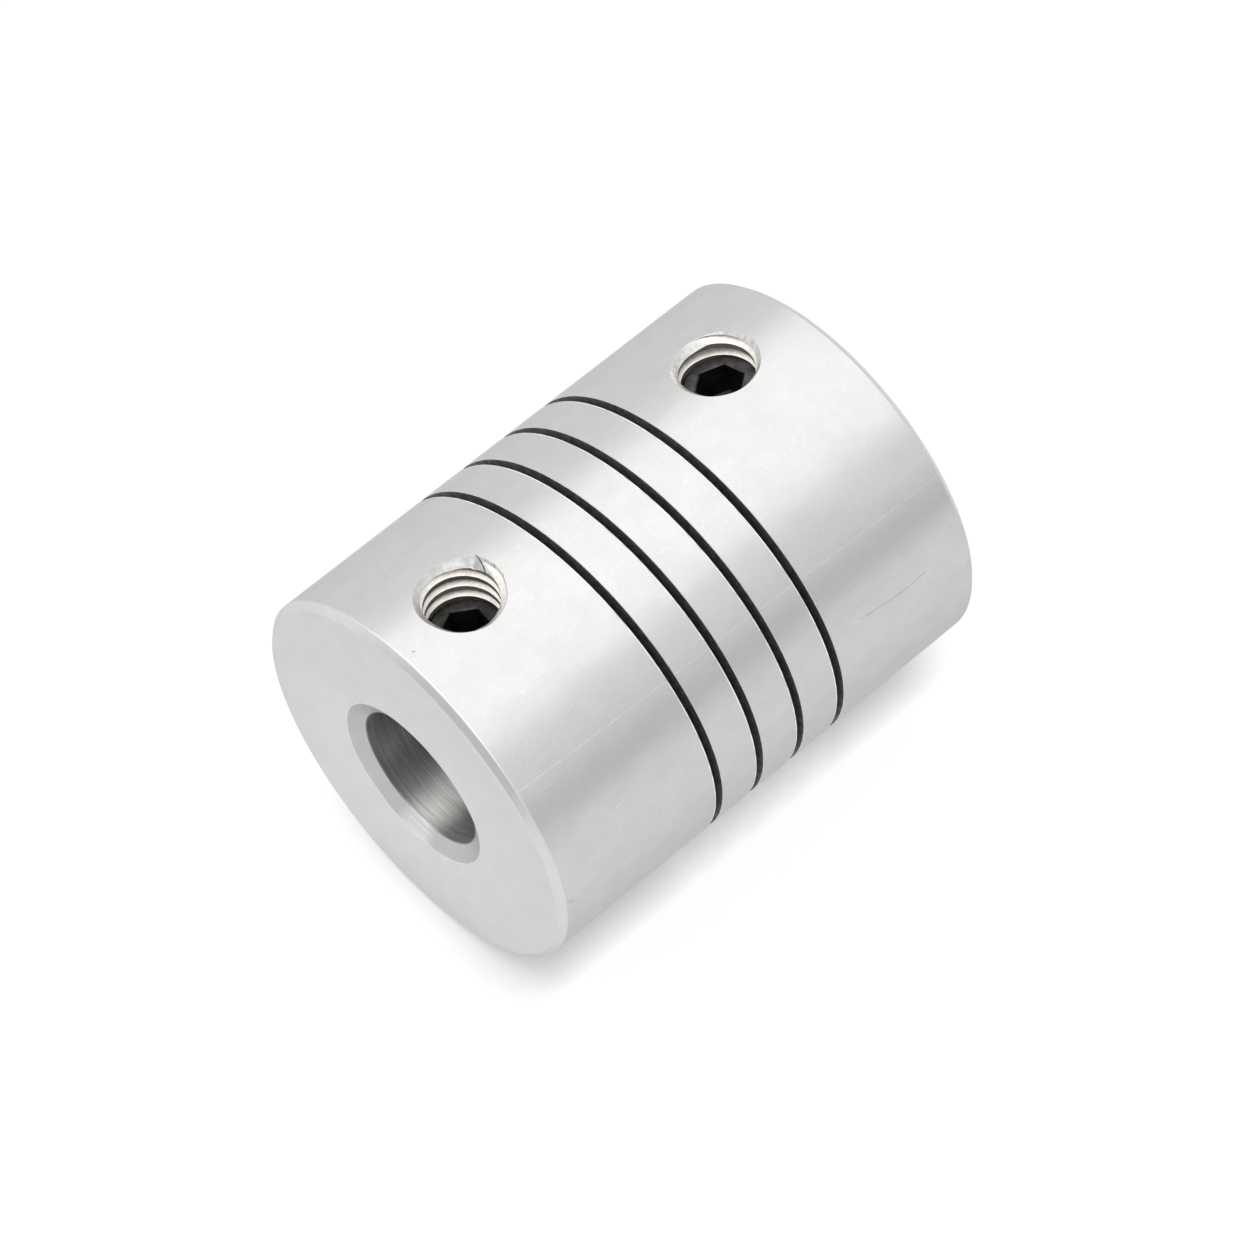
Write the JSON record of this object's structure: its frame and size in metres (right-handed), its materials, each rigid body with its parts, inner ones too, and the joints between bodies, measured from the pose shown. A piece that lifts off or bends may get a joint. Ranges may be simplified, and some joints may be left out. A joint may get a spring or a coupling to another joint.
{
  "type": "shaft coupling",
  "caption": "Helical-beam shaft coupling: a bored aluminium cylinder with a spiral slit between its hubs, and recessed hex-socket set screws in each hub.",
  "frame": {"origin": "centre of the lower end face, which the part stands on", "axes": "+Z along the shaft axis from the lower hub to the upper hub, -Y midway between the upper hub's two set screws"},
  "size_m": [0.019, 0.019, 0.025],
  "materials": {
    "aluminium_body": "satin, drawn lengthwise, with turned ends and bores",
    "black_oxide_screw": "black oxide"
  },
  "bodies": {
    "root": {"coupling_body": "aluminium_body", "upper_set_screw_1": "black_oxide_screw", "upper_set_screw_2": "black_oxide_screw", "lower_set_screw_1": "black_oxide_screw", "lower_set_screw_2": "black_oxide_screw"}
  },
  "joints": []
}
